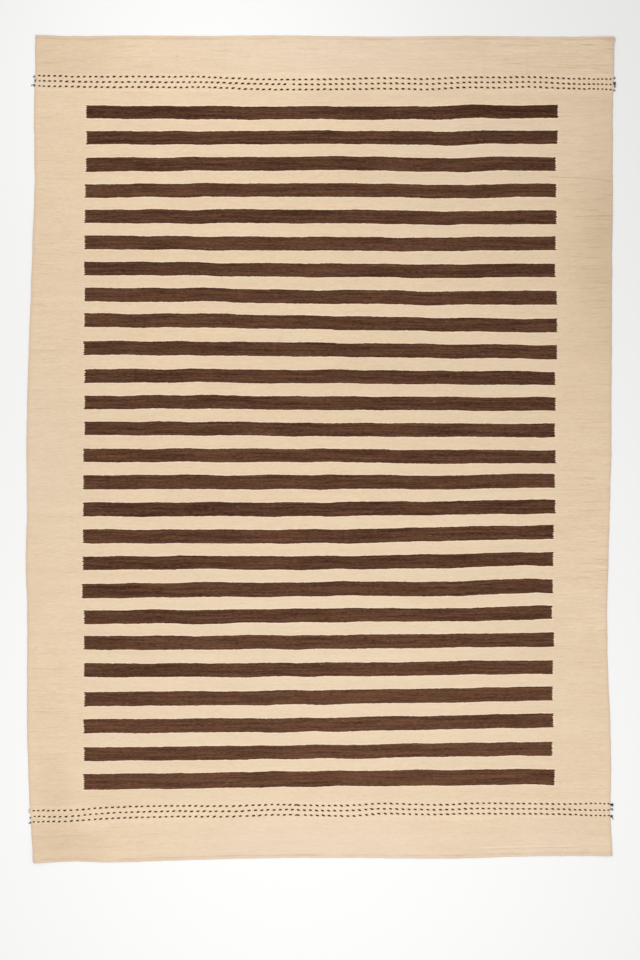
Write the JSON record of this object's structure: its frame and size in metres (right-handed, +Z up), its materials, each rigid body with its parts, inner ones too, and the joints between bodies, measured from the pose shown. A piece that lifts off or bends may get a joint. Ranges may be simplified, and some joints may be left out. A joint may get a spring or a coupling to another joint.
{
  "type": "flat-woven wool rug",
  "caption": "Large flat-woven wool rug lying face up, with straight woven bars across a plain field, rows of brown dashes near both ends and loose yarn ends at the selvedges.",
  "frame": {"origin": "middle of the rug's whole box, on the surface that it lies on", "axes": "+Y along the rug's length towards its top end, +X towards its right selvedge, +Z up out of its face"},
  "size_m": [2.5206, 3.534, 0.006],
  "materials": {
    "cream_wool": "matte handspun wool, flat weave",
    "brown_wool": "matte handspun wool yarn"
  },
  "bodies": {
    "root": {"kilim_cloth": "cream_wool", "yarn_end_top_left_1": "brown_wool", "yarn_end_top_left_2": "brown_wool", "yarn_end_top_left_3": "brown_wool", "yarn_end_top_right_1": "brown_wool", "yarn_end_top_right_2": "brown_wool", "yarn_end_top_right_3": "brown_wool", "yarn_end_bottom_left_1": "brown_wool", "yarn_end_bottom_left_2": "brown_wool", "yarn_end_bottom_left_3": "brown_wool", "yarn_end_bottom_right_1": "brown_wool", "yarn_end_bottom_right_2": "brown_wool", "yarn_end_bottom_right_3": "brown_wool"}
  },
  "joints": []
}
